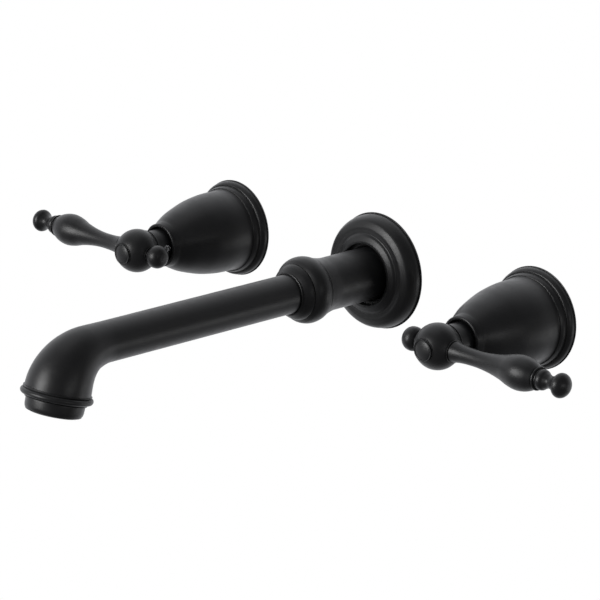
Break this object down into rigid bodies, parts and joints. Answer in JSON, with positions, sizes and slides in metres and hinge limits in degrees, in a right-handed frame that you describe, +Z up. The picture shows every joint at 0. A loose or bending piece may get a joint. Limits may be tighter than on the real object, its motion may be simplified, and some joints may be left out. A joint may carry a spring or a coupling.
{
  "type": "wall mounted bath faucet",
  "caption": "Wall-mounted bath faucet in satin black: bell escutcheons with turned lever handles beside a long straight spout that turns down at its outlet, with its brass rough-in.",
  "frame": {"origin": "on the finished wall, at the centre of the spout", "axes": "+Y into the wall along the spout's axis, +X from the hot handle to the cold handle, +Z up"},
  "size_m": [0.447, 0.3565, 0.0812],
  "materials": {
    "matte_black": "satin black",
    "brass": "plain machined and cast",
    "steel": "plain",
    "ceramic": "polished",
    "rubber": "moulded",
    "plastic": "moulded"
  },
  "bodies": {
    "fixed_fittings": {"hot_valve_body": "brass", "hot_cartridge_housing": "brass", "hot_fixed_disc": "ceramic", "hot_seat_seal": "rubber", "hot_bonnet_nut": "brass", "hot_escutcheon_sleeve": "brass", "hot_escutcheon_bell": "matte_black", "hot_wall_gasket": "rubber", "hot_cross_tube": "brass", "hot_union_nut": "brass", "cold_valve_body": "brass", "cold_cartridge_housing": "brass", "cold_fixed_disc": "ceramic", "cold_seat_seal": "rubber", "cold_bonnet_nut": "brass", "cold_escutcheon_sleeve": "brass", "cold_escutcheon_bell": "matte_black", "cold_wall_gasket": "rubber", "cold_cross_tube": "brass", "cold_union_nut": "brass", "outlet_collar": "matte_black", "outlet_washer": "rubber", "flow_straightener": "plastic", "spout_flange": "matte_black", "flange_o_ring": "rubber", "spout_shank": "matte_black", "spout_tube": "matte_black", "center_tee": "brass", "spout_nipple": "brass", "mounting_strap": "steel", "strap_screw_1": "steel", "strap_screw_2": "steel", "strap_screw_3": "steel", "strap_screw_4": "steel"},
    "hot_handle": {"hot_cartridge_stem": "brass", "hot_stem_o_ring": "rubber", "hot_moving_disc": "ceramic", "hot_stem_adapter": "brass", "hot_handle_hub": "matte_black", "hot_index_button": "matte_black", "hot_handle_screw": "steel", "hot_set_screw": "steel", "hot_lever": "matte_black", "hot_finial": "matte_black"},
    "cold_handle": {"cold_cartridge_stem": "brass", "cold_stem_o_ring": "rubber", "cold_moving_disc": "ceramic", "cold_stem_adapter": "brass", "cold_handle_hub": "matte_black", "cold_index_button": "matte_black", "cold_handle_screw": "steel", "cold_set_screw": "steel", "cold_lever": "matte_black", "cold_finial": "matte_black"}
  },
  "joints": [
    {"name": "hot_handle_turn", "type": "hinge", "parent": "fixed_fittings", "child": "hot_handle", "pos_m": [-0.127, 0, 0], "axis": [0, -1, 0], "range_deg": [0, 90]},
    {"name": "cold_handle_turn", "type": "hinge", "parent": "fixed_fittings", "child": "cold_handle", "pos_m": [0.127, 0, 0], "axis": [0, 1, 0], "range_deg": [0, 90]}
  ]
}
